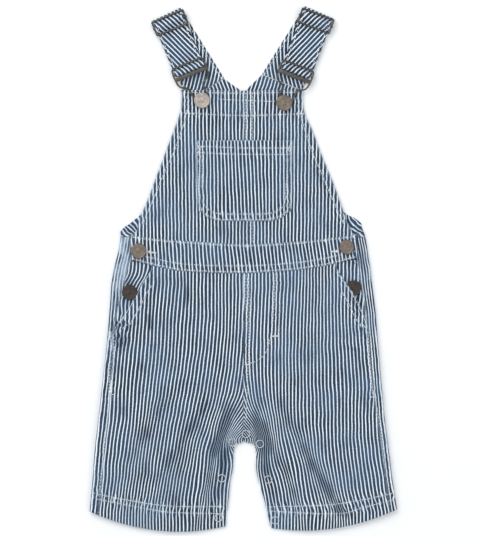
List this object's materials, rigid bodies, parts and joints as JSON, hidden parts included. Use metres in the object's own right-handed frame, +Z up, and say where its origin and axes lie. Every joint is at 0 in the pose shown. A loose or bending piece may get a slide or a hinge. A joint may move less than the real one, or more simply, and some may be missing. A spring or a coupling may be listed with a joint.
{
  "type": "kids bib overalls",
  "caption": "Short bib overalls for a small child in blue and white hickory stripe, laid flat, with adjustable straps, wire buckles, metal buttons and pockets.",
  "frame": {"origin": "middle of the laid garment's outline, on the surface that it lies on", "axes": "+X towards the wearer's left, +Y towards the shoulders, +Z up out of the front"},
  "size_m": [0.3076, 0.526, 0.0096],
  "materials": {
    "striped_cotton": "washed cotton twill, narrow indigo and white stripes",
    "dark_wire": "blackened gunmetal wire and plate",
    "button_metal": "antiqued brown-grey metal, matt",
    "snap_ring": "pale prong ring pressed into the cloth"
  },
  "bodies": {
    "root": {"back_bib": "striped_cotton", "back_leg_right": "striped_cotton", "back_leg_left": "striped_cotton", "front_leg_right": "striped_cotton", "front_leg_left": "striped_cotton", "pocket_facing_right": "striped_cotton", "pocket_facing_left": "striped_cotton", "bib_front_right": "striped_cotton", "bib_front_left": "striped_cotton", "bib_pocket": "striped_cotton", "waistband_front": "striped_cotton", "strap_right": "striped_cotton", "strap_left": "striped_cotton", "slider_right": "dark_wire", "slider_left": "dark_wire", "buckle_right": "dark_wire", "buckle_left": "dark_wire", "bib_button_right": "button_metal", "bib_button_left": "button_metal", "waist_button_right": "button_metal", "waist_button_left": "button_metal", "side_button_right": "button_metal", "side_button_left": "button_metal", "snap_crotch": "snap_ring", "snap_right_top": "snap_ring", "snap_left_top": "snap_ring", "snap_right_middle": "snap_ring", "snap_left_middle": "snap_ring", "snap_right_hem": "snap_ring", "snap_left_hem": "snap_ring"}
  },
  "joints": []
}
